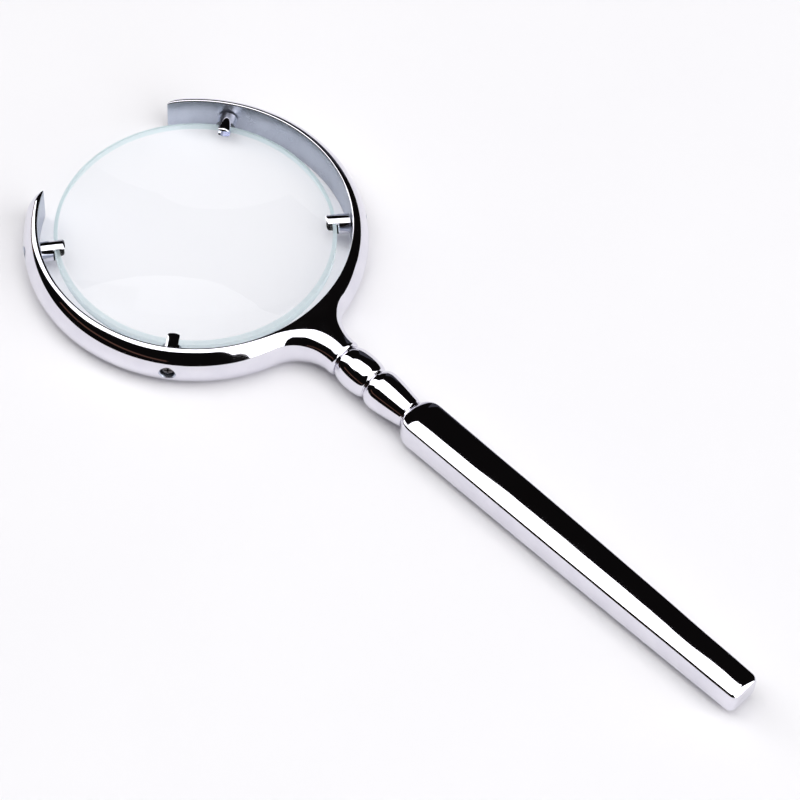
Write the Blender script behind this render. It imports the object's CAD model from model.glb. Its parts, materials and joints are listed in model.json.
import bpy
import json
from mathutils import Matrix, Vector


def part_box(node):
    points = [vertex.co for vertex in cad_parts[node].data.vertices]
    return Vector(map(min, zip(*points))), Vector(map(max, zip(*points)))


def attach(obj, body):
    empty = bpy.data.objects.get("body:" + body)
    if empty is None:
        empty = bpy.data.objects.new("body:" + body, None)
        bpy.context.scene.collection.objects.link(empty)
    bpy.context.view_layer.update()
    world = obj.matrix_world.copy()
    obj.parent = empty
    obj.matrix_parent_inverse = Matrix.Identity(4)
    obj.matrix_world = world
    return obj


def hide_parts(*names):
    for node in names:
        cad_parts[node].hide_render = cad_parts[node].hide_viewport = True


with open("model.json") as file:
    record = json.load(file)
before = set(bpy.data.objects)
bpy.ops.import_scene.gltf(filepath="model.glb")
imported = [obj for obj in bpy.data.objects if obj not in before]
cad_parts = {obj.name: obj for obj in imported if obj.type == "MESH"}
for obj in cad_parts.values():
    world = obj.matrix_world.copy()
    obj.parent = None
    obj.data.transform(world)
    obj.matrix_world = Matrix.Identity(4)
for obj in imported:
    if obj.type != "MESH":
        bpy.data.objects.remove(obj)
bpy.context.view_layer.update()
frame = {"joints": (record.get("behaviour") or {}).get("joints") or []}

import json
from math import asin, atan2, cos, degrees, hypot, pi, radians, sin, sqrt

import bmesh
import bpy
from mathutils import Matrix, Vector
from mathutils.bvhtree import BVHTree

# A chrome hand lens on a pale table. Sizes are in millimetres, counted along the handle from the lens's
# optical axis; the axis of the neck and the handle is at height 0.
MM = 0.001
anchors = {joint["name"]: Vector(joint["pos_m"]) for joint in frame["joints"]}
optical_axis = anchors["lens_turn"]
axis_height = anchors["handle_turn"].z
HOME = Vector((optical_axis.x, optical_axis.y, axis_height))


def size_of(node):
    low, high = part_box(node)
    return (high - low) / MM


RING_INNER = 36.05
RING_WALL = 3.95
RING_OUTER = RING_INNER + RING_WALL
HALF_HEIGHT = size_of("ring_frame").z / 2
WIDEST = -0.3  # height of the widest place of the ring's section
RING_LAND = 0.8  # width of the level land round its underside
EDGE_ROUND = 0.3  # radius of its inner edges
THINNING = (80, 140, 0.87)  # the wall thins between these angles, to this share of itself
TIP_ANGLE = 147.6  # where the open ring ends, in degrees from the handle
TIP_LENGTH = 3.8
TIP_END = 0.22  # share of the wall that is left at the tip
TIP_HEIGHT = 0.9  # share of the height that is left at the tip
FILLET = 9
NECK_RADIUS = 4.45
NECK_END = 49
COLLAR = (49.3, 58.0)
FERRULE = (58.3, 69.3)
HANDLE_START, HANDLE_END = 69.6, 167.5
GROOVE_RADIUS = 3.6
BEAD_RADIUS = 4.8
BORE = 2.05
STUD_RADIUS = 1.75
LENS_RADIUS = size_of("lens").x / 2
LENS_EDGE = 3
LENS_BULGE = 2.2
POST_RADIUS = 2.35
POST_TIP = 30.1  # distance of the posts' inner ends from the optical axis
SLOT_ROOM = 0.1  # extra room in their slots, because the lens's faces rise inwards from its edge
HEAD_RADIUS = 1.35
SHANK_RADIUS = 0.8
SCREW_DEPTH = 3.7
COUNTERBORE = 2.4
GAP = 0.3
VALLEY_GAP = GAP / 2 - 0.02  # how far the plating reaches into the gap between two beads
SHARP = radians(32)
SIDES = {"rear_right": 52.2, "rear_left": -52.2, "front_right": 124.6, "front_left": -124.6}


def lerp(a, b, t):
    return a + (b - a) * t


def smooth(x, a, b):
    t = min(max((x - a) / (b - a), 0), 1)
    return t * t * (3 - 2 * t)


def wall_at(angle):
    start, end, left = THINNING
    return RING_WALL * lerp(1, left, smooth(abs(angle), start, end))


# ---------------------------------------------------------------- mesh helpers

def new_object(name, vertices, faces, materials, merge=0.001):
    """A mesh object at HOME. A face is a list of corners, or a pair of that list and a material's number."""
    bm = bmesh.new()
    made = [bm.verts.new(Vector(v) * MM + HOME) for v in vertices]
    for face in faces:
        corners = face[0] if isinstance(face, tuple) else face
        try:
            new = bm.faces.new([made[i] for i in corners])
        except ValueError:
            continue
        new.smooth = True
        if isinstance(face, tuple):
            new.material_index = face[1]
    bmesh.ops.remove_doubles(bm, verts=bm.verts, dist=merge * MM)
    bmesh.ops.dissolve_degenerate(bm, edges=bm.edges, dist=merge * MM / 4)
    bmesh.ops.recalc_face_normals(bm, faces=bm.faces)
    mesh = bpy.data.meshes.new(name)
    bm.to_mesh(mesh)
    bm.free()
    mesh.set_sharp_from_angle(angle=SHARP)
    obj = bpy.data.objects.new(name, mesh)
    bpy.context.scene.collection.objects.link(obj)
    for material in materials:
        mesh.materials.append(material)
    return obj


def loft(loops, closed=True, caps=True):
    """Vertices and faces through loops of the same count."""
    count = len(loops[0])
    vertices = [v for loop in loops for v in loop]
    faces = []
    for row in range(len(loops) - 1):
        for i in range(count if closed else count - 1):
            a, b = row * count + i, row * count + (i + 1) % count
            faces.append([a, b, b + count, a + count])
    if caps:
        last = (len(loops) - 1) * count
        faces.append(list(range(count))[::-1])
        faces.append([last + i for i in range(count)])
    return vertices, faces


def turned(profile, sides, closed=False):
    """A body turned about X through [x, r] points; points on the axis become poles."""
    loops = []
    for x, r in profile:
        loops.append([(x, r * cos(2 * pi * i / sides), r * sin(2 * pi * i / sides)) for i in range(sides)])
    if closed:
        loops.append(loops[0])
    return loft(loops, caps=False)


def rotated(vertices, angle):
    turn = Matrix.Rotation(radians(angle), 3, "Z")
    return [turn @ Vector(v) for v in vertices]


def baked(obj):
    """Applies the modifiers for good."""
    graph = bpy.context.evaluated_depsgraph_get()
    mesh = bpy.data.meshes.new_from_object(obj.evaluated_get(graph))
    old = obj.data
    obj.modifiers.clear()
    obj.data = mesh
    bpy.data.meshes.remove(old)


def surface_copy(obj):
    """The uncut surface, as a tree of its triangles with their corner normals."""
    mesh = obj.data
    mesh.calc_loop_triangles()
    points = [v.co.copy() for v in mesh.vertices]
    triangles, normals = [], []
    for t in mesh.loop_triangles:
        triangles.append(tuple(t.vertices))
        normals.append([mesh.corner_normals[i].vector.copy() for i in t.loops])
    return BVHTree.FromPolygons(points, triangles), points, triangles, normals


def cut(obj, cutters, keep_normals=True):
    """Cuts the bodies out of obj. With keep_normals, the shading of what is left stays as it was."""
    whole = surface_copy(obj) if keep_normals else None
    for cutter in cutters:
        modifier = obj.modifiers.new("cut", "BOOLEAN")
        modifier.operation = "DIFFERENCE"
        modifier.solver = "EXACT"
        modifier.object = cutter
    baked(obj)
    for cutter in cutters:
        bpy.data.objects.remove(cutter)
    mesh = obj.data
    mesh.set_sharp_from_angle(angle=SHARP)
    if not keep_normals:
        return
    tree, points, triangles, corner_normals = whole
    face_normals = [p.normal.copy() for p in mesh.polygons]
    wanted = [Vector((0, 0, 0))] * len(mesh.loops)
    for polygon in mesh.polygons:
        for loop in polygon.loop_indices:
            at = mesh.vertices[mesh.loops[loop].vertex_index].co
            found, normal, index, far = tree.find_nearest(at)
            if far > 2e-6 or normal.dot(face_normals[polygon.index]) < 0.9:
                continue
            a, b, c = (points[i] for i in triangles[index])
            whole_area = (b - a).cross(c - a)
            size = whole_area.length_squared
            if size < 1e-24:
                continue
            u = (c - b).cross(found - b).dot(whole_area) / size
            v = (a - c).cross(found - c).dot(whole_area) / size
            w = 1 - u - v
            na, nb, nc = corner_normals[index]
            blended = (na * u + nb * v + nc * w).normalized()
            if blended.dot(face_normals[polygon.index]) > 0.8:
                wanted[loop] = blended
    mesh.normals_split_custom_set(wanted)


def bevelled(obj, width, segments=2):
    modifier = obj.modifiers.new("edges", "BEVEL")
    modifier.width = width * MM
    modifier.segments = segments
    modifier.limit_method = "ANGLE"
    modifier.angle_limit = radians(40)
    modifier.harden_normals = True
    baked(obj)


# ---------------------------------------------------------------- materials

def new_material(name):
    material = bpy.data.materials.new(name)
    material.use_nodes = True
    nodes = material.node_tree.nodes
    links = material.node_tree.links
    shader = nodes["Principled BSDF"]

    def add(kind, inputs=None, **settings):
        node = nodes.new(kind)
        for key, value in settings.items():
            setattr(node, key, value)
        for key, value in (inputs or {}).items():
            socket = node.inputs[key]
            if isinstance(value, bpy.types.NodeSocket):
                links.new(value, socket)
            else:
                socket.default_value = value
        return node

    def drive(socket, value):
        links.new(value, shader.inputs[socket])

    return material, shader, add, drive


def ramp(add, source, stops):
    node = add("ShaderNodeValToRGB", {"Fac": source})
    elements = node.color_ramp.elements
    while len(elements) < len(stops):
        elements.new(0.5)
    for element, (place, colour) in zip(elements, stops):
        element.position = place
        element.color = (*colour, 1)
    return node.outputs["Color"]


def noise(add, place, scale, detail, roughness=0.5, distortion=0.0):
    return add("ShaderNodeTexNoise", {"Vector": place, "Scale": scale, "Detail": detail,
                                      "Roughness": roughness, "Distortion": distortion}).outputs["Fac"]


def remap(add, value, from_low, from_high, low, high):
    return add("ShaderNodeMapRange", {"Value": value, "From Min": from_low, "From Max": from_high,
                                      "To Min": low, "To Max": high}).outputs["Result"]


def metal(name, tone, shade, rough, wave, wave_size, grain=(1, 1, 1), scratch=8e-8):
    """Polished plating: faintly wavy, with hairlines, small stains and a little wear in its polish."""
    material, shader, add, drive = new_material(name)
    shader.inputs["Metallic"].default_value = 1
    place = add("ShaderNodeTexCoord").outputs["Object"]
    stains = noise(add, place, 160, 5, 0.6)
    drive("Base Color", ramp(add, stains, [(0.3, shade), (0.62, tone)]))
    stretched = add("ShaderNodeMapping", {"Vector": place, "Scale": grain}).outputs["Vector"]
    hairs = noise(add, stretched, 2600, 3, 0.7)
    polish = remap(add, stains, 0.3, 0.7, *rough)
    worn = remap(add, hairs, 0.35, 0.8, 0.85, 1.6)
    drive("Roughness", add("ShaderNodeMath", {0: polish, 1: worn}, operation="MULTIPLY").outputs["Value"])
    swell = noise(add, place, 1000 / wave_size, 1.5, 0.35)
    waves = add("ShaderNodeBump", {"Strength": 1, "Distance": wave * MM, "Height": swell})
    fine = add("ShaderNodeBump", {"Strength": 1, "Distance": scratch, "Height": hairs,
                                  "Normal": waves.outputs["Normal"]})
    drive("Normal", fine.outputs["Normal"])
    return material


chrome = metal("chrome_polished", (0.80, 0.79, 0.85), (0.74, 0.73, 0.80), (0.025, 0.06), 0.012, 9)
chrome_bar = metal("chrome_handle", (0.80, 0.79, 0.85), (0.73, 0.72, 0.79), (0.02, 0.05), 0.028, 9,
                   (0.25, 1, 1), 6e-8)
chrome_inside = metal("chrome_inside", (0.54, 0.575, 0.66), (0.45, 0.485, 0.57), (0.26, 0.4), 0.01, 5,
                      scratch=2e-6)
chrome_rim = metal("chrome_hole_rim", (0.95, 0.95, 0.98), (0.9, 0.9, 0.94), (0.45, 0.6), 0.01, 5,
                   scratch=1e-6)
steel = metal("steel_screws", (0.16, 0.15, 0.15), (0.09, 0.085, 0.085), (0.22, 0.36), 0.01, 3,
              scratch=1.5e-6)
stud_steel = metal("steel_stud", (0.42, 0.42, 0.43), (0.3, 0.3, 0.31), (0.25, 0.4), 0.01, 3,
                   scratch=2e-6)


GLASS_IOR = 1.52
FREE_TURNS = 2.5  # after more turns than this, light passes the glass straight on


def let_light_through(material, shader, add, colour):
    """Light from the room passes the glass straight on, so the table under it isn't in the dark.
    So does light that has already turned several times inside the glass, which lets it out again."""
    nodes, links = material.node_tree.nodes, material.node_tree.links
    path = add("ShaderNodeLightPath").outputs
    light = add("ShaderNodeMath", {0: path["Is Shadow Ray"], 1: path["Is Diffuse Ray"]},
                operation="MAXIMUM").outputs["Value"]
    trapped = add("ShaderNodeMath", {0: path["Ray Depth"], 1: FREE_TURNS},
                  operation="GREATER_THAN").outputs["Value"]
    light = add("ShaderNodeMath", {0: light, 1: trapped}, operation="MAXIMUM").outputs["Value"]
    clear = add("ShaderNodeBsdfTransparent", {"Color": colour})
    mix = add("ShaderNodeMixShader", {0: light, 1: shader.outputs["BSDF"], 2: clear.outputs["BSDF"]})
    links.new(mix.outputs["Shader"], nodes["Material Output"].inputs["Surface"])


def lens_material():
    material, shader, add, drive = new_material("lens_glass_clear")
    place = add("ShaderNodeTexCoord").outputs["Object"]
    smears = noise(add, place, 70, 4, 0.55, 0.6)
    drive("Roughness", remap(add, smears, 0.5, 0.8, 0.0, 0.035))
    drive("Base Color", ramp(add, smears, [(0.25, (0.99, 0.996, 1.0)), (0.75, (0.997, 1.0, 1.0))]))
    shader.inputs["Transmission Weight"].default_value = 1
    shader.inputs["Specular Tint"].default_value = (0.3, 0.3, 0.3, 1)
    shader.inputs["IOR"].default_value = GLASS_IOR
    let_light_through(material, shader, add, (0.99, 0.995, 1, 1))
    return material


glass = lens_material()


def ground_edge_material():
    """The lens's ground edge: a frosted band, pale blue-green where it is seen through the glass."""
    material, shader, add, drive = new_material("lens_glass_ground_edge")
    place = add("ShaderNodeTexCoord").outputs["Object"]
    grain = noise(add, place, 900, 4, 0.7)
    drive("Base Color", ramp(add, grain, [(0.3, (0.58, 0.72, 0.75)), (0.7, (0.66, 0.78, 0.80))]))
    drive("Roughness", remap(add, grain, 0, 1, 0.45, 0.75))
    shader.inputs["Transmission Weight"].default_value = 0.85
    shader.inputs["IOR"].default_value = GLASS_IOR
    let_light_through(material, shader, add, (0.88, 0.92, 0.94, 1))
    return material


ground_edge = ground_edge_material()


# ---------------------------------------------------------------- ring, yoke and neck

def valley_end(profile, end):
    """Carries a profile on, tangent to its last step, into a rounded valley that runs level at its end."""
    (x0, r0), (x1, r1) = profile[-2:]
    slope = (r1 - r0) / (x1 - x0)
    turn_x = lerp(x1, end, 0.55)
    turn = (turn_x, r1 + slope * (turn_x - x1))
    last = (end, turn[1])
    curve = []
    for i in range(1, 9):
        t = i / 8
        curve.append(tuple((1 - t) ** 2 * a + 2 * t * (1 - t) * b + t * t * c
                           for a, b, c in zip((x1, r1), turn, last)))
    return profile + curve


def half_paths():
    """Paths in plan from the outline inwards, for the side with y over 0."""
    paths = []
    flank_y = NECK_RADIUS + FILLET
    flank_x = sqrt((RING_OUTER + FILLET) ** 2 - flank_y ** 2)
    touch = degrees(atan2(flank_y, flank_x))
    touch_x = RING_OUTER * cos(radians(touch))
    tip_span = degrees(TIP_LENGTH / RING_OUTER)
    angles = [TIP_ANGLE - tip_span * (1 - cos(radians(90) * i / 22)) for i in range(22)]
    body_from = TIP_ANGLE - tip_span
    steps = 170
    angles += [lerp(body_from, touch, i / steps) for i in range(steps)]
    for angle in angles:
        out = Vector((cos(radians(angle)), sin(radians(angle))))
        share = min((TIP_ANGLE - angle) / tip_span, 1)
        paths.append(dict(start=out * (RING_INNER + wall_at(angle)), inwards=-out, length=wall_at(angle),
                          fade=0, inner=True, tip=share))
    centre = Vector((flank_x, flank_y))
    ends = [(Vector((cos(radians(a)), sin(radians(a)))) * RING_INNER, True)
            for a in (touch * (1 - (i / 30) ** 0.9) for i in range(31))]
    span = flank_x - RING_INNER
    ends += [(Vector((RING_INNER + x, 0)), False) for x in (0.02, 0.06, 0.12, 0.2, 0.3, 0.45, 0.65, 0.9)]
    ends += [(Vector((RING_INNER + lerp(0.9, span, i / 24), 0)), False) for i in range(1, 25)]
    for end, inner in ends:
        ray = end - centre
        inwards = ray.normalized()
        start = centre + inwards * FILLET
        paths.append(dict(start=start, inwards=inwards, length=ray.length - FILLET,
                          fade=smooth(start.x, touch_x, 48), inner=inner, tip=1))
    for i in range(1, 6):
        x = lerp(flank_x, NECK_END - 0.5, i / 5)
        paths.append(dict(start=Vector((x, NECK_RADIUS)), inwards=Vector((0, -1)), length=NECK_RADIUS,
                          fade=smooth(x, touch_x, 48), inner=False, tip=1))
    return paths


ROUND_TOP, FLAT_TOP, EDGE_TOP = 26, 6, 6
ROUND_LOW, FLAT_LOW, EDGE_LOW = 16, 4, 4
WALL_STEPS = 5


def spread(length, reach, power, counts, fade):
    """Places along a path: close together on the rounded flank and on the inner edge."""
    curved, flat, edge = counts
    total = curved + flat + edge
    last = length - EDGE_ROUND * 1.2
    reach = min(reach, last - 0.02 * flat)
    places = [reach * (1 - cos(pi / 2 * i / curved) ** (2 / power)) for i in range(curved)]
    places += [lerp(reach, last, i / flat) for i in range(flat)]
    places += [lerp(last, length, sin(pi / 2 * i / edge)) for i in range(edge + 1)]
    even = [length * (1 - cos(pi / 2 * i / total)) for i in range(total + 1)]
    return [lerp(a, b, smooth(fade, 0.2, 0.95)) for a, b in zip(places, even)]


def edge_drop(point):
    """How far the surface drops at a point of the rounded inner edge."""
    inside = (point.length - RING_INNER) / EDGE_ROUND
    if inside >= 1:
        return 0
    return EDGE_ROUND * (1 - sqrt(max(1 - (1 - max(inside, 0)) ** 2, 0)))


def half_section(path):
    """The top and the low curve of the section along one path. The flank is a superellipse: lean on
    the open ring, fuller at the yoke and round at the neck."""
    fade = path["fade"]
    full = smooth(path["start"].x, 34.5, 41)
    settle = smooth(path["start"].x, 43, 48)
    power = lerp(lerp(1.6, 2.4, full), 2, settle)
    wall = path["length"] if fade == 0 else RING_WALL
    crest = wall - EDGE_ROUND - 0.12
    top_reach = lerp(crest, 4.6, smooth(path["start"].x, 38.46, 43))
    top_reach = lerp(top_reach, NECK_RADIUS, smooth(path["start"].x, 43, 46))
    low_reach = lerp(wall - RING_LAND, NECK_RADIUS, fade)

    def place(along, reach, height, exponent, sign):
        plan = path["start"] + path["inwards"] * along
        share = min(along / reach, 1)
        level = lerp(height, NECK_RADIUS, smooth(plan.x, 40, 48))
        z = lerp(WIDEST, 0, smooth(plan.x, 40, 48))
        z += sign * level * max(1 - (1 - share) ** exponent, 0) ** (1 / exponent)
        z -= sign * edge_drop(plan)
        if path["tip"] < 1:
            q = sqrt(1 - (1 - path["tip"]) ** 2)
            radius = RING_INNER + (plan.length - RING_INNER) * lerp(TIP_END, 1, q)
            plan = plan.normalized() * radius
            z *= lerp(TIP_HEIGHT, 1, q)
        return (plan.x, max(plan.y, 0), z)

    top = [place(d, top_reach, HALF_HEIGHT - WIDEST, power, 1)
           for d in spread(path["length"], top_reach, power, (ROUND_TOP, FLAT_TOP, EDGE_TOP), fade)]
    low = [place(d, low_reach, HALF_HEIGHT + WIDEST, 2, -1)
           for d in spread(path["length"], low_reach, 2, (ROUND_LOW, FLAT_LOW, EDGE_LOW), fade)]
    return top, low


def ring_body():
    """Top and low skins, inner wall, tip, and the neck's end with its bore; then all of it mirrored."""
    paths = half_paths()
    sections = [half_section(p) for p in paths]
    vertices, faces = [], []

    def strip(rows, index=0):
        start, count = len(vertices), len(rows[0])
        for row in rows:
            vertices.extend(row)
        for r in range(len(rows) - 1):
            for i in range(count - 1):
                a = start + r * count + i
                faces.append(([a, a + 1, a + count + 1, a + count], index))

    strip([top for top, low in sections])
    strip([low for top, low in sections])
    walls = []
    for path, (top, low) in zip(paths, sections):
        if path["inner"]:
            a, b = Vector(top[-1]), Vector(low[-1])
            walls.append([tuple(a.lerp(b, i / WALL_STEPS)) for i in range(WALL_STEPS + 1)])
    strip(walls, 1)
    top, low = sections[0]
    tip = list(top) + walls[0][1:-1] + list(low)[::-1][:-1]
    start = len(vertices)
    vertices.extend(tip)
    faces.append(([start + i for i in range(len(tip))], 0))
    top, low = sections[-1]
    loop = list(top)[::-1] + list(low)[1:]
    rows = [loop]
    rim = valley_end([(NECK_END - 0.5, NECK_RADIUS), (NECK_END - 0.47, NECK_RADIUS - 0.01),
                      (NECK_END - 0.3, NECK_RADIUS - 0.12), (NECK_END - 0.12, NECK_RADIUS - 0.34)],
                     NECK_END + VALLEY_GAP)
    ends = rim[1:]
    last = rim[-1][0]
    ends += [(last, lerp(GROOVE_RADIUS, BORE, 0.5)), (last, BORE), (NECK_END - 4, BORE),
             (NECK_END - 7.8, BORE), (NECK_END - 7.8, BORE / 2), (NECK_END - 7.8, 0)]
    for x, radius in ends:
        rows.append([(x, v[1] / NECK_RADIUS * radius, v[2] / NECK_RADIUS * radius) for v in loop])
    strip(rows)
    count = len(vertices)
    vertices += [(x, -y, z) for x, y, z in vertices]
    faces += [([i + count for i in corners][::-1], index) for corners, index in faces]
    return new_object("ring_frame_plated", vertices, faces, [chrome, chrome_inside])


def screw_hole(angle):
    """What is cut away for a screw: a passage, a counterbore and a chamfered mouth with a satin rim."""
    surface = RING_INNER + wall_at(angle)
    mouth, passage, lip = HEAD_RADIUS + GAP, SHANK_RADIUS + GAP, surface - 0.35
    bottom = surface - COUNTERBORE
    profile = [(RING_INNER - 1, 0), (RING_INNER - 1, passage), (bottom, passage), (bottom, mouth),
               (lip, mouth), (surface + 1, mouth + surface + 1 - lip), (surface + 1, 0)]
    sides = 72
    vertices, faces = turned(profile, sides)
    rim = range(4 * sides, 5 * sides)
    faces = [(face, 1 if i in rim else 0) for i, face in enumerate(faces)]
    return new_object("hole", rotated(vertices, angle), faces, [chrome_inside, chrome_rim])


ring = ring_body()
cut(ring, [screw_hole(angle) for angle in SIDES.values()])
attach(ring, "frame")
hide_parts("ring_frame")


# ---------------------------------------------------------------- posts and screws

def screw_seat(angle):
    return RING_INNER + wall_at(angle) - COUNTERBORE + GAP


def post(side, angle):
    """A round pin with a rounded inner end, slotted for the lens's edge and bored for its screw."""
    tip, outer, round_ = POST_TIP, RING_INNER - GAP, 0.55
    profile = [(tip, 0), (tip, (POST_RADIUS - round_) * 0.5), (tip, POST_RADIUS - round_)]
    profile += [(tip + round_ * (1 - cos(a)), POST_RADIUS - round_ + round_ * sin(a))
                for a in (pi / 2 * i / 8 for i in range(1, 9))]
    profile += [(lerp(tip + round_, outer - 0.1, i / 4), POST_RADIUS) for i in range(1, 5)]
    profile += [(outer, POST_RADIUS - 0.1), (outer, 0)]
    vertices, faces = turned(profile, 72)
    body = new_object(f"lens_post_pin_{side}", rotated(vertices, angle), faces, [chrome])
    slot_end, half = LENS_RADIUS + GAP + 0.2, LENS_EDGE / 2 + GAP + SLOT_ROOM
    box = [[(x, y, z) for y, z in ((-4, -half), (4, -half), (4, half), (-4, half))]
           for x in (tip - 1, slot_end)]
    slot_vertices, slot_faces = loft(box)
    slot = new_object("slot", rotated(slot_vertices, angle), slot_faces, [chrome])
    thread, clear = screw_seat(angle) - SCREW_DEPTH - GAP, SHANK_RADIUS + GAP
    hole_profile = [(thread, 0), (thread, clear), (outer + 1, clear), (outer + 1, 0)]
    hole_vertices, hole_faces = turned(hole_profile, 48)
    hole = new_object("thread", rotated(hole_vertices, angle), hole_faces, [steel])
    cut(body, [slot, hole], keep_normals=False)
    bevelled(body, 0.12)
    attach(body, "frame")
    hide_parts(f"lens_post_{side}")


def screw(side, angle):
    """A small screw with a cross recess, its shank entering the post."""
    seat = screw_seat(angle)
    top, crown = seat + 1.2, 0.25
    point = seat - SCREW_DEPTH
    profile = [(point, 0), (point, SHANK_RADIUS * 0.7), (point + 0.2, SHANK_RADIUS)]
    pitch = 0.3
    for i in range(10):
        x = point + 0.25 + i * pitch
        profile += [(x, SHANK_RADIUS), (x + pitch * 0.5, SHANK_RADIUS - 0.12)]
    profile += [(seat - 0.4, SHANK_RADIUS), (seat, SHANK_RADIUS), (seat, HEAD_RADIUS - 0.08),
                (seat + 0.08, HEAD_RADIUS), (top - crown, HEAD_RADIUS)]
    profile += [(top - crown + crown * sin(a), HEAD_RADIUS - crown + crown * cos(a))
                for a in (pi / 2 * i / 6 for i in range(1, 7))]
    profile += [(top, HEAD_RADIUS / 2), (top, 0)]
    vertices, faces = turned(profile, 64)
    body = new_object(f"lens_screw_fine_{side}", rotated(vertices, angle), faces, [steel])
    cutters = []
    for wide, high in ((0.88, 0.23), (0.23, 0.88)):
        box = [[(x, y * wide * s, z * high * s) for y, z in ((-1, -1), (1, -1), (1, 1), (-1, 1))]
               for x, s in ((top - 0.7, 0.72), (top + 0.3, 1.08))]
        v, f = loft(box)
        cutters.append(new_object("recess", rotated(v, angle), f, [steel]))
    cut(body, cutters, keep_normals=False)
    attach(body, f"screw_{side}")
    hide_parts(f"lens_screw_{side}")


for side, angle in SIDES.items():
    post(side, angle)
    screw(side, angle)


# ---------------------------------------------------------------- lens

def lens_body():
    """Two spherical faces, each with a ground bevel, and the ground edge between them."""
    face_radius = (LENS_RADIUS ** 2 + LENS_BULGE ** 2) / (2 * LENS_BULGE)
    bevel_width, bevel_height = 0.95, 0.4
    half = []
    rings = 44
    for i in range(rings + 1):
        r = (LENS_RADIUS - bevel_width) * i / rings
        half.append((sqrt(face_radius ** 2 - r ** 2) - face_radius + LENS_BULGE + LENS_EDGE / 2, r))
    half.append((LENS_EDGE / 2 - bevel_height, LENS_RADIUS))
    half.append((0, LENS_RADIUS))
    profile = half + [(-h, r) for h, r in half[::-1][1:]]
    vertices, faces = turned(profile, 160)
    edge_faces = []
    for face in faces:
        on_edge = all(hypot(*vertices[i][1:]) > LENS_RADIUS - bevel_width - 0.01 for i in face)
        edge_faces.append((face, 1 if on_edge else 0))
    upright = [(v[1], v[2], v[0]) for v in vertices]
    body = new_object("lens_ground", upright, edge_faces, [glass, ground_edge])
    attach(body, "lens")
    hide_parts("lens")


lens_body()


# ---------------------------------------------------------------- collar, ferrule, stud

def bead(name, profile, node, body):
    """A turned bead with a bore, from its outer profile."""
    vertices, faces = turned(profile, 128, closed=True)
    obj = new_object(name, vertices, faces, [chrome])
    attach(obj, body)
    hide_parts(node)


def collar():
    start, end = COLLAR
    middle, half_length = (start + end) / 2, (end - start) / 2
    half = []
    for i in range(25):
        along = 0.985 * sin(pi / 2 * i / 24)
        half.append((half_length * along,
                     GROOVE_RADIUS + (BEAD_RADIUS - GROOVE_RADIUS) * sqrt(1 - along ** 2)))
    half = valley_end(half, half_length + VALLEY_GAP)
    profile = [(middle - half[-1][0], BORE)] + [(middle - x, r) for x, r in half[::-1]]
    profile += [(middle + x, r) for x, r in half[1:]] + [(middle + half[-1][0], BORE)]
    bead("neck_collar_plated", profile, "neck_collar", "collar")


def ferrule():
    start, end = FERRULE
    shoulder_length = 2.6
    shoulder = []
    for i in range(25):
        along = 0.985 * sin(pi / 2 * i / 24)
        shoulder.append((shoulder_length * along,
                         lerp(GROOVE_RADIUS - 0.1, BEAD_RADIUS, cos(asin(along)))))
    shoulder = valley_end(shoulder, shoulder_length + VALLEY_GAP)
    widest_x = start + shoulder_length
    profile = [(widest_x - shoulder[-1][0], BORE)] + [(widest_x - x, r) for x, r in shoulder[:0:-1]]
    for i in range(25):
        share = i / 24
        profile.append((lerp(widest_x, end - 0.3, share), lerp(BEAD_RADIUS, 3.65, share ** 1.35)))
    profile += [(end - 0.2, 3.61), (end - 0.08, 3.51)]
    profile = valley_end(profile, end + VALLEY_GAP)
    profile.append((end + VALLEY_GAP, BORE))
    bead("neck_ferrule_plated", profile, "neck_ferrule", "ferrule")


def stud():
    """The hidden tie stud, threaded at both ends."""
    start, end = NECK_END - 7.5, HANDLE_START + 13
    profile = [(start, 0), (start, STUD_RADIUS - 0.5), (start + 0.5, STUD_RADIUS)]
    pitch = 0.5
    for first, last in ((start + 0.6, NECK_END - 0.6), (71, end - 1)):
        for i in range(int((last - first) / pitch)):
            profile += [(first + i * pitch, STUD_RADIUS), (first + (i + 0.5) * pitch, STUD_RADIUS - 0.2)]
        profile.append((last, STUD_RADIUS))
    profile += [(end - 0.5, STUD_RADIUS), (end, STUD_RADIUS - 0.5), (end, 0)]
    vertices, faces = turned(profile, 64)
    obj = new_object("tie_stud_threaded", vertices, faces, [stud_steel])
    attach(obj, "frame")
    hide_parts("tie_stud")


collar()
ferrule()
stud()


# ---------------------------------------------------------------- handle

CROWN, BELLY = radians(14), radians(8)
LEANS = [(0, 3.6), (0.2, 3.3), (0.33, 1.6), (0.5, 1.2), (0.72, 1.0), (0.84, 2.6), (0.93, 0.9), (1, 2.0)]


def lean(share):
    """The slope across the hand-polished top, in degrees, at a share of the handle's length."""
    for (s0, a0), (s1, a1) in zip(LEANS, LEANS[1:]):
        if share <= s1:
            return lerp(a0, a1, smooth(share, s0, s1))
    return LEANS[-1][1]


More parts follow.
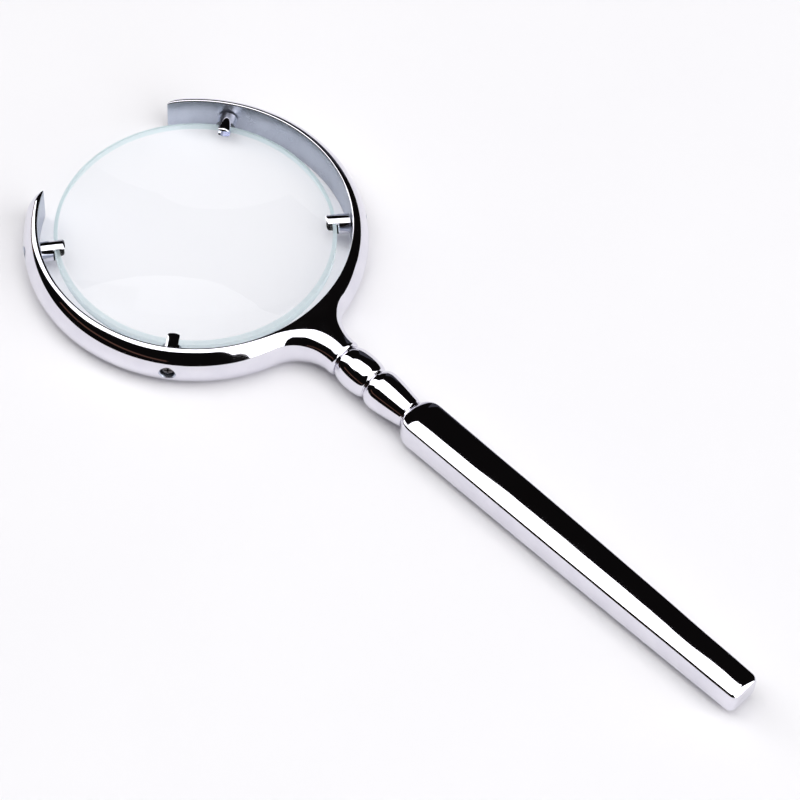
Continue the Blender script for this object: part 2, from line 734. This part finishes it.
def handle_loop(x, half_width, half_height, round_, slope=0):
    """One section: a crowned top, rounded edges, flat sides and a slightly crowned belly."""
    top_radius = (half_width - round_ * (1 - sin(CROWN))) / sin(CROWN)
    low_radius = (half_width - round_ * (1 - sin(BELLY))) / sin(BELLY)
    half = []
    for i in range(17):
        a = CROWN * i / 16
        half.append((top_radius * sin(a), half_height - top_radius * (1 - cos(a))))
    centre_y, centre_z = half_width - round_, half[-1][1] - round_ * cos(CROWN)
    for i in range(1, 13):
        a = lerp(CROWN, pi / 2, i / 12)
        half.append((centre_y + round_ * sin(a), centre_z + round_ * cos(a)))
    low_edge = -half_height + low_radius * (1 - cos(BELLY)) + round_ * cos(BELLY)
    top_edge = centre_z
    for i in range(1, 6):
        half.append((half_width, lerp(top_edge, low_edge, i / 6)))
    for i in range(0, 13):
        a = lerp(pi / 2, pi - BELLY, i / 12)
        half.append((centre_y + round_ * sin(a), low_edge + round_ * cos(a)))
    for i in range(1, 13):
        a = lerp(BELLY, 0, i / 12)
        half.append((low_radius * sin(a), -half_height + low_radius * (1 - cos(a))))
    loop = [(x, y, z) for y, z in half]
    loop += [(x, -y, z) for y, z in half[1:-1][::-1]]
    return [(x, y, z - slope * y * smooth(z, 0, half_height * 0.7)) for x, y, z in loop]


def handle_body():
    """The bar, from its rounded nose to its rounded butt, with the blind bore for the stud."""
    length = HANDLE_END - HANDLE_START
    wide, high = 5.25, 3.9
    bore_depth = 13.3
    loops = []

    def station(x, width_loss, height_loss, round_):
        share = (x - HANDLE_START) / length
        swell = sin(pi * share)
        half_width = lerp(wide, 4.0, share) - width_loss + 0.15 * swell
        half_height = lerp(high, 3.55, share) - height_loss + 0.1 * swell
        loops.append(handle_loop(x, half_width, half_height, round_, sin(radians(lean(share)))))

    nose, nose_half, edge, butt = 4, 2.6, 1.0, 1.8
    nose_steps = [(i, None) for i in range(3, 25)]
    for i, x in [(3, HANDLE_START - VALLEY_GAP), (3, HANDLE_START)] + nose_steps:
        share = 1 - cos(pi / 2 * i / 24)
        missing = 1 - sqrt(1 - (1 - share) ** 2)
        if x is None:
            x = HANDLE_START + share * nose
        station(x, missing * (wide - nose_half), missing * (high - nose_half),
                lerp(edge, nose_half * 0.9, missing))
    for i in range(1, 60):
        station(lerp(HANDLE_START + nose, HANDLE_END - butt, i / 60), 0, 0, edge)
    for i in range(17):
        turn = pi / 2 * i / 16
        loss = butt * (1 - cos(turn)) * 0.75
        station(HANDLE_END - butt * (1 - sin(turn)), loss, loss, edge)
    butt_loop = loops[-1]
    for shrink, out in ((0.7, 0), (0.4, 0), (0.15, 0), (0, 0)):
        loops.append([(HANDLE_END + out, y * shrink, z * shrink) for x, y, z in butt_loop])
    face = loops[0]

    def circle(x, radius):
        return [(x, radius * y / hypot(y, z), radius * z / hypot(y, z)) for _, y, z in face]

    bore = [circle(HANDLE_START + depth, radius)
            for depth, radius in ((bore_depth, 0), (bore_depth, 1), (bore_depth, BORE), (7, BORE),
                                  (0, BORE), (-VALLEY_GAP, BORE + 0.1))]
    vertices, faces = loft(bore + loops, caps=False)
    obj = new_object("handle_plated", vertices, faces, [chrome_bar])
    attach(obj, "handle")
    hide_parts("handle")


handle_body()


# ---------------------------------------------------------------- table, light and camera

def floor_material():
    material, shader, add, drive = new_material("table_paper")
    place = add("ShaderNodeTexCoord").outputs["Object"]
    cloud = noise(add, place, 9, 3)
    drive("Base Color", ramp(add, cloud, [(0.3, (0.84, 0.835, 0.87)), (0.7, (0.86, 0.855, 0.885))]))
    tooth = noise(add, place, 2500, 2)
    drive("Roughness", remap(add, tooth, 0, 1, 0.75, 0.95))
    shader.inputs["Specular IOR Level"].default_value = 0.15
    return material


TABLE_REACH = 2.2  # in metres, inside the cards


def table():
    bm = bmesh.new()
    bmesh.ops.create_grid(bm, x_segments=40, y_segments=40, size=TABLE_REACH)
    mesh = bpy.data.meshes.new("table")
    bm.to_mesh(mesh)
    bm.free()
    top = bpy.data.objects.new("table", mesh)
    mesh.materials.append(floor_material())
    bpy.context.scene.collection.objects.link(top)


table()


def lamp_material(name, colour, strength):
    material = bpy.data.materials.new(name)
    material.use_nodes = True
    nodes, links = material.node_tree.nodes, material.node_tree.links
    nodes.remove(nodes["Principled BSDF"])
    emission = nodes.new("ShaderNodeEmission")
    emission.inputs["Color"].default_value = (*colour, 1)
    emission.inputs["Strength"].default_value = strength
    links.new(emission.outputs["Emission"], nodes["Material Output"].inputs["Surface"])
    return material


def card(name, edges, material, radius=3.2, step=1.5):
    """A curved card round the table, seen only in the chrome and the glass. edges lists (azimuth,
    lowest elevation, highest elevation)."""
    rows, steps = [], 24
    azimuths = []
    a = edges[0][0]
    while a < edges[-1][0]:
        azimuths.append(a)
        a += step
    azimuths.append(edges[-1][0])
    for azimuth in azimuths:
        for (a0, low0, high0), (a1, low1, high1) in zip(edges, edges[1:]):
            if a0 <= azimuth <= a1:
                t = (azimuth - a0) / (a1 - a0)
                low, high = lerp(low0, low1, t), lerp(high0, high1, t)
                break
        row = []
        for i in range(steps + 1):
            elevation = radians(lerp(low, high, i / steps))
            row.append((cos(elevation) * cos(radians(azimuth)), cos(elevation) * sin(radians(azimuth)),
                        sin(elevation)))
        rows.append(row)
    bm = bmesh.new()
    grid = [[bm.verts.new(Vector(p) * radius) for p in row] for row in rows]
    for r in range(len(grid) - 1):
        for i in range(steps):
            bm.faces.new([grid[r][i], grid[r][i + 1], grid[r + 1][i + 1], grid[r + 1][i]])
    mesh = bpy.data.meshes.new(name)
    bm.to_mesh(mesh)
    bm.free()
    mesh.materials.append(material)
    obj = bpy.data.objects.new(name, mesh)
    bpy.context.scene.collection.objects.link(obj)
    obj.visible_camera = False


WHITE = lamp_material("light_white", (1, 0.995, 0.985), 2.33)
GREY = lamp_material("light_grey", (0.86, 0.85, 0.93), 0.75)
DIM = lamp_material("light_dim_red", (0.32, 0.16, 0.12), 0.3)
DUSK = lamp_material("light_dusk", (0.8, 0.8, 1), 0.06)

card("softbox_overhead", [
    (-180, 8, 90), (-162, 8, 90), (-142, 42, 90), (-123, 46, 90), (-110, 55, 90), (-80, 57, 90),
    (-50, 65, 90), (-25, 62, 90), (-20, 1, 90), (46, 1, 90), (50, 62, 90), (100, 63, 90),
    (122, 63, 90), (134, 60, 90), (150, 58, 90), (174, 56, 90), (178, 10, 90), (180, 8, 90)], WHITE)
card("wall_grey_far", [(116, 0.5, 8), (152, 0.5, 12)], GREY, radius=3.1)
card("wall_dark_far", [(104, 0.5, 12), (114, 0.5, 26), (126, 0.5, 30)], DUSK, radius=3.1)
card("wall_dim_left", [(-180, 0.5, 8), (-158, 0.5, 8)], DIM, radius=3.1)
card("shelf_streak", [(-130, 17, 22), (-96, 16, 21), (-60, 9, 13)], DIM, radius=3.0)


def room():
    """A room that is nearly dark in the chrome, and pale where it is seen straight or through glass."""
    world = bpy.data.worlds.new("room")
    bpy.context.scene.world = world
    world.use_nodes = True
    nodes, links = world.node_tree.nodes, world.node_tree.links
    pale = nodes["Background"]
    pale.inputs["Color"].default_value = (0.85, 0.86, 0.9, 1)
    dark = nodes.new("ShaderNodeBackground")
    dark.inputs["Color"].default_value = (0.004, 0.0035, 0.0035, 1)
    light_path = nodes.new("ShaderNodeLightPath")
    pick = nodes.new("ShaderNodeMixShader")
    seen = nodes.new("ShaderNodeMath")
    seen.operation = "MAXIMUM"
    links.new(light_path.outputs["Is Camera Ray"], seen.inputs[0])
    links.new(light_path.outputs["Is Transmission Ray"], seen.inputs[1])
    links.new(seen.outputs["Value"], pick.inputs[0])
    links.new(dark.outputs["Background"], pick.inputs[1])
    links.new(pale.outputs["Background"], pick.inputs[2])
    links.new(pick.outputs["Shader"], nodes["World Output"].inputs["Surface"])


room()


def view_camera():
    """A long lens looking down on the part from the handle's end and the -Y side, slightly rolled."""
    data = bpy.data.cameras.new("view")
    data.sensor_width = 36
    data.lens = 127.71
    data.clip_end = 50
    camera = bpy.data.objects.new("view", data)
    bpy.context.scene.collection.objects.link(camera)
    azimuth, elevation, roll, distance = radians(-49.708), radians(54.829), radians(5.286), 0.6356
    target = Vector((-0.00454, 0.00362, 0.00035))
    back = Vector((cos(azimuth) * cos(elevation), sin(azimuth) * cos(elevation), sin(elevation)))
    right = (-back).cross(Vector((0, 0, 1))).normalized()
    up = right.cross(-back)
    across = right * cos(roll) + up * sin(roll)
    upwards = up * cos(roll) - right * sin(roll)
    pose = Matrix((across, upwards, back)).transposed().to_4x4()
    pose.translation = target + back * distance
    camera.matrix_world = pose
    bpy.context.scene.camera = camera


view_camera()
bpy.context.scene.view_settings.view_transform = "Standard"
